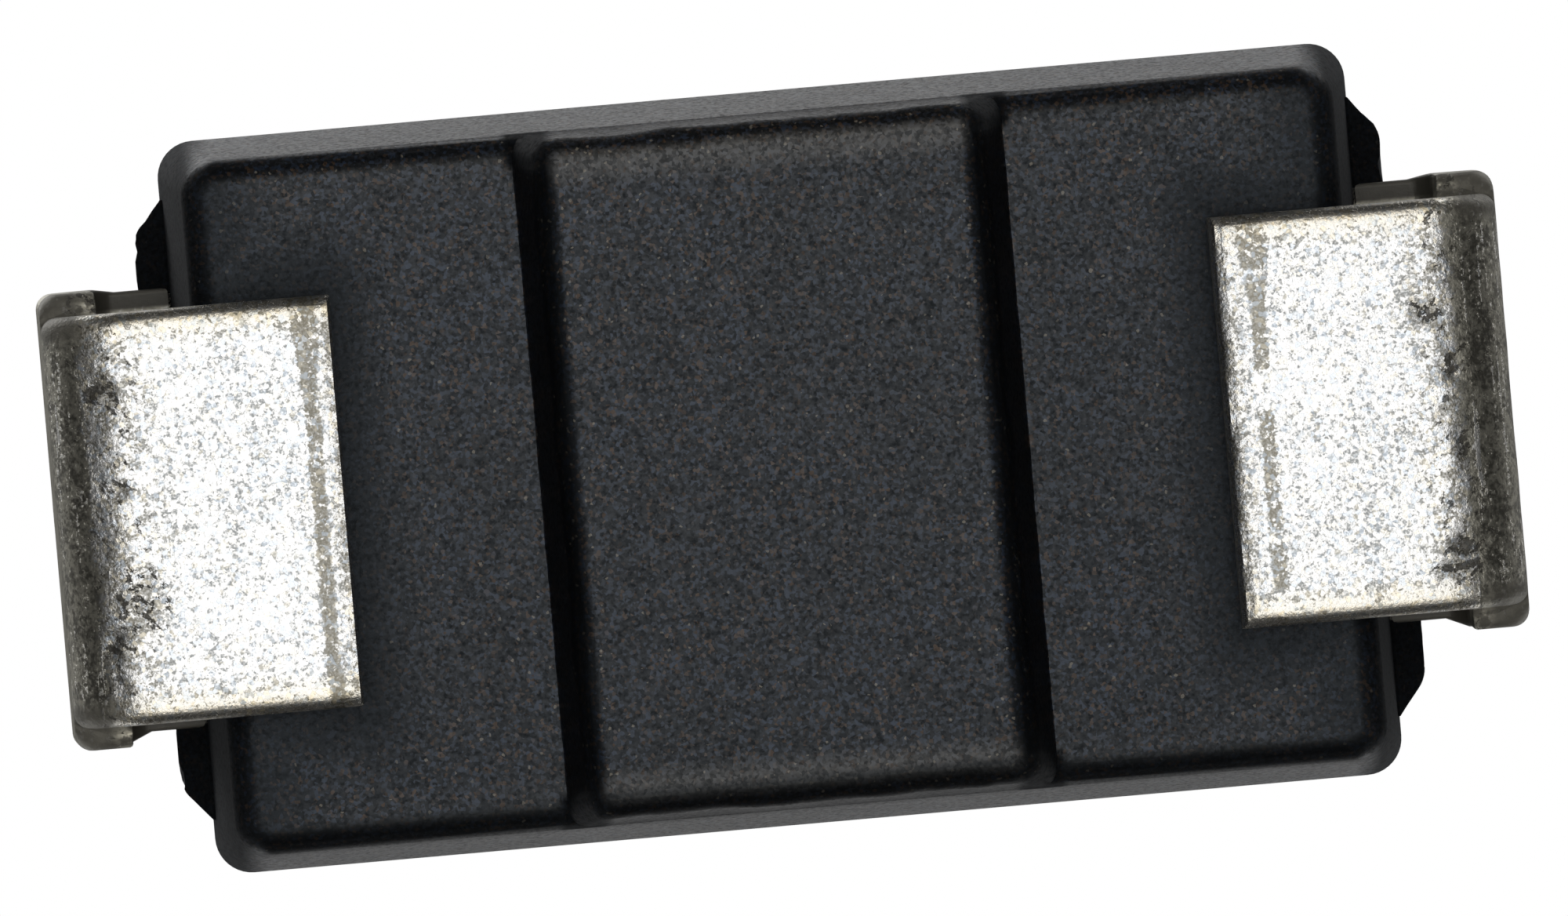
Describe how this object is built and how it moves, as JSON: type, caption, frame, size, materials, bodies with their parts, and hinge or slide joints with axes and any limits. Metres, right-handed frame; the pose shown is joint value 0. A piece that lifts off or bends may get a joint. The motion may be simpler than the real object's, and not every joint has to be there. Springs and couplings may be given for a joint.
{
  "type": "schottky diode",
  "caption": "Surface-mount diode: black drafted epoxy body with a raised pedestal below, and flat plated leads bent down and folded under its ends for soldering to a circuit board.",
  "frame": {"origin": "centre of the plane that the two feet stand on", "axes": "+Z away from the circuit board, +X along the length from the cathode end to the anode end"},
  "size_m": [0.0052, 0.0026, 0.0022],
  "materials": {
    "epoxy": "matt moulded, fine grained",
    "tin_plate": "matt tin plate",
    "silicon": "polished",
    "solder": "dull"
  },
  "bodies": {
    "root": {"moulded_body": "epoxy", "cathode_lead": "tin_plate", "anode_lead": "tin_plate", "silicon_die": "silicon", "die_solder": "solder", "contact_solder": "solder"}
  },
  "joints": []
}
